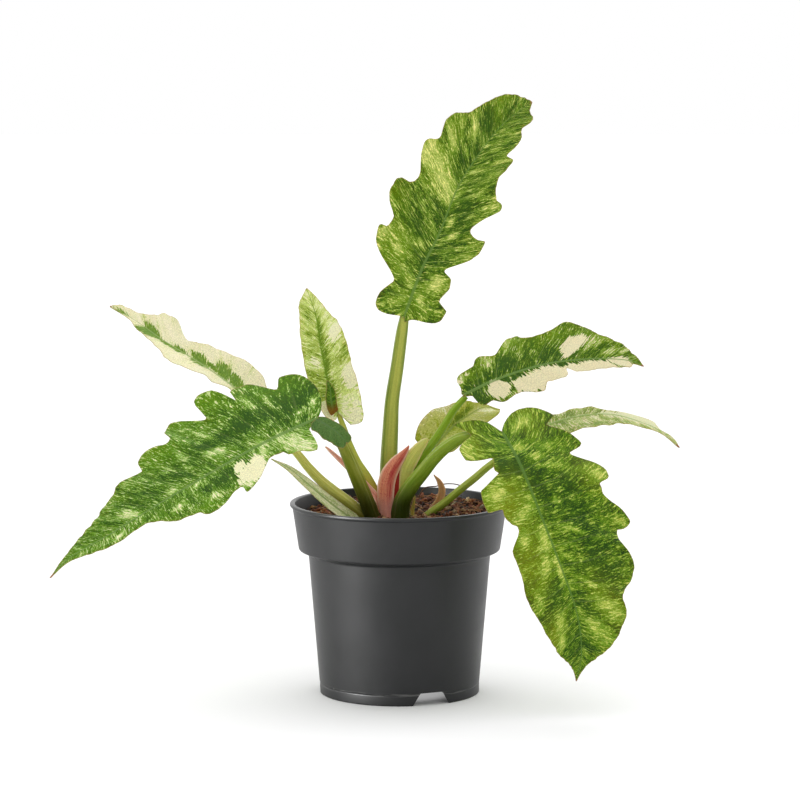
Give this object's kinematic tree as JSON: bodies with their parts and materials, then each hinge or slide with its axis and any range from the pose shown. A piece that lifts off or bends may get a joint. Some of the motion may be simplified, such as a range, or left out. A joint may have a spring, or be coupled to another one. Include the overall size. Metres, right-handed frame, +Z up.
{
  "type": "potted foliage plant",
  "caption": "Potted foliage plant with long lobed, green and cream variegated leaves on channelled stalks, in a round dark grey nursery pot with notched foot.",
  "frame": {"origin": "on the ground, below the middle of the whole plant's width and depth; the pot's axis stands 14.7 mm to the right and 10.3 mm behind it", "axes": "+X to the viewer's right and the longest extent, +Y away from the viewer, +Z up, -Z is the way the pot's foot rests"},
  "size_m": [0.3398, 0.1405, 0.3254],
  "materials": {
    "pot_plastic": "satin",
    "potting_mix": "matte",
    "crown": "matte",
    "leaf_green": "satin",
    "leaf_cream": "satin",
    "leaf_pale": "satin",
    "stalk_green": "satin",
    "sheath_pink": "satin",
    "sheath_red": "satin",
    "sheath_green": "satin",
    "sheath_dry": "matte"
  },
  "bodies": {
    "root": {"pot": "pot_plastic", "potting_mix": "potting_mix", "crown_stem": "crown", "blade_tall": "leaf_green", "blade_front_left": "leaf_green", "blade_upper_right": "leaf_green", "blade_front_right": "leaf_green", "blade_back_left": "leaf_cream", "blade_far_right": "leaf_cream", "blade_upright": "leaf_pale", "blade_small_back": "leaf_pale", "bract_variegated": "leaf_cream", "sheath_pink_left": "sheath_pink", "sheath_pink_centre": "sheath_pink", "sheath_red_inner": "sheath_red", "sheath_green_bud": "sheath_green", "sheath_yellowish": "sheath_green", "sheath_dry_brown": "sheath_dry", "stalk_front_right": "stalk_green", "stalk_front_left": "stalk_green", "stalk_tall": "stalk_green", "stalk_back_left": "stalk_green", "stalk_upright": "stalk_green", "stalk_upper_right": "stalk_green", "stalk_far_right": "stalk_green", "stalk_small_back": "stalk_green"}
  },
  "joints": []
}
